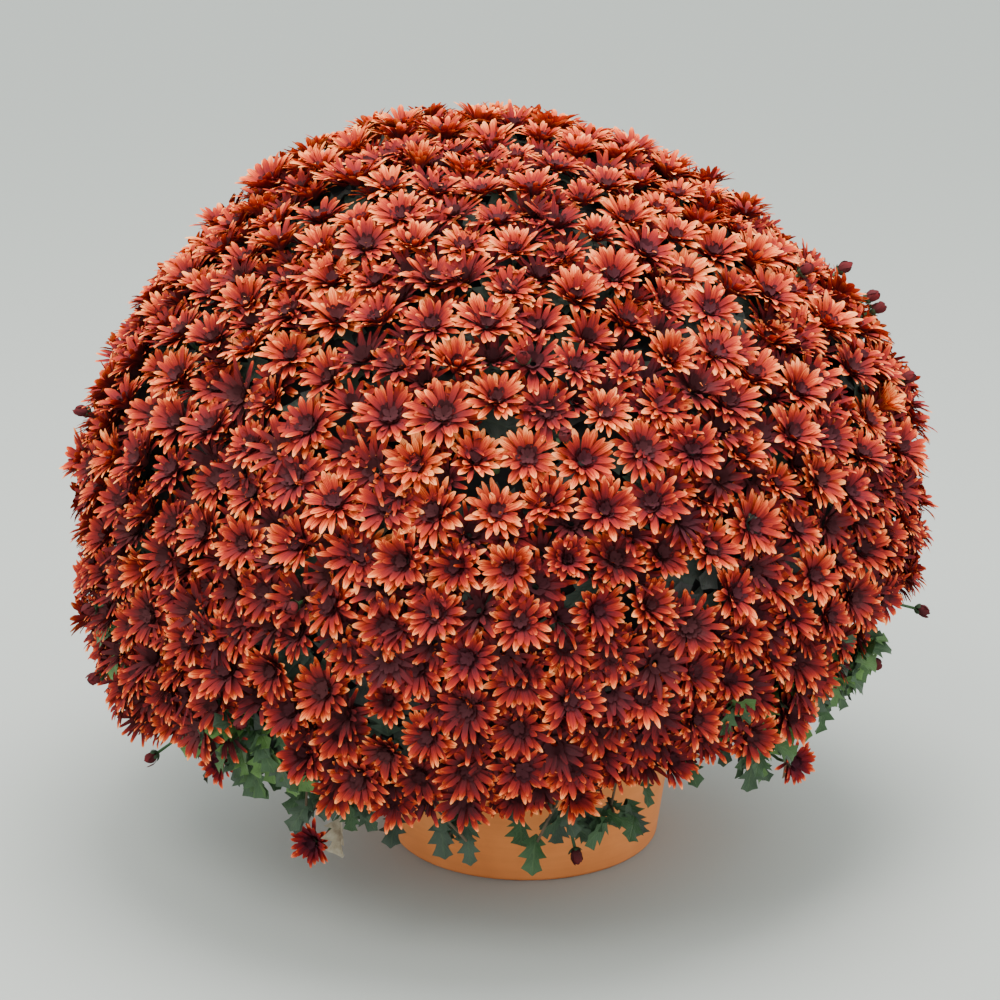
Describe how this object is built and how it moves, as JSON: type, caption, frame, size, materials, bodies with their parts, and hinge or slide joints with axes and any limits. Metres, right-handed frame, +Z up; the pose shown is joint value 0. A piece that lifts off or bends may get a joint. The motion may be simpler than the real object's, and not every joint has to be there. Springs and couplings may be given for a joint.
{
  "type": "pot chrysanthemum",
  "caption": "Potted garden chrysanthemum: a tapered clay pot of soil carrying leafy shoots that branch into one dense dome of bronze-red daisy blooms.",
  "frame": {"origin": "centre of the flat underside of the pot, on the surface it stands on", "axes": "+Z up along the pot's axis; -Y towards the side that the picture shows; +X to the right of that side"},
  "size_m": [0.5842, 0.5922, 0.5149],
  "materials": {
    "terracotta": "matte unglazed clay",
    "soil": "crumbly dark peat and bark potting mix",
    "foliage": "soft matte green leaf and stem",
    "petals": "satin bronze-red ray petals with peach tips"
  },
  "bodies": {
    "root": {"pot": "terracotta", "soil": "soil", "shoot_1": "foliage", "shoot_2": "foliage", "shoot_3": "foliage", "shoot_4": "foliage", "shoot_5": "foliage", "shoot_6": "foliage", "side_bloom_1": "petals", "side_bloom_2": "petals", "side_bloom_3": "petals", "spray_01": "petals", "spray_02": "petals", "spray_03": "petals", "spray_04": "petals", "spray_05": "petals", "spray_06": "petals", "spray_07": "petals", "spray_08": "petals", "spray_09": "petals", "spray_10": "petals", "spray_11": "petals", "spray_12": "petals", "spray_13": "petals", "spray_14": "petals", "spray_15": "petals", "spray_16": "petals", "spray_17": "petals", "spray_18": "petals"}
  },
  "joints": []
}
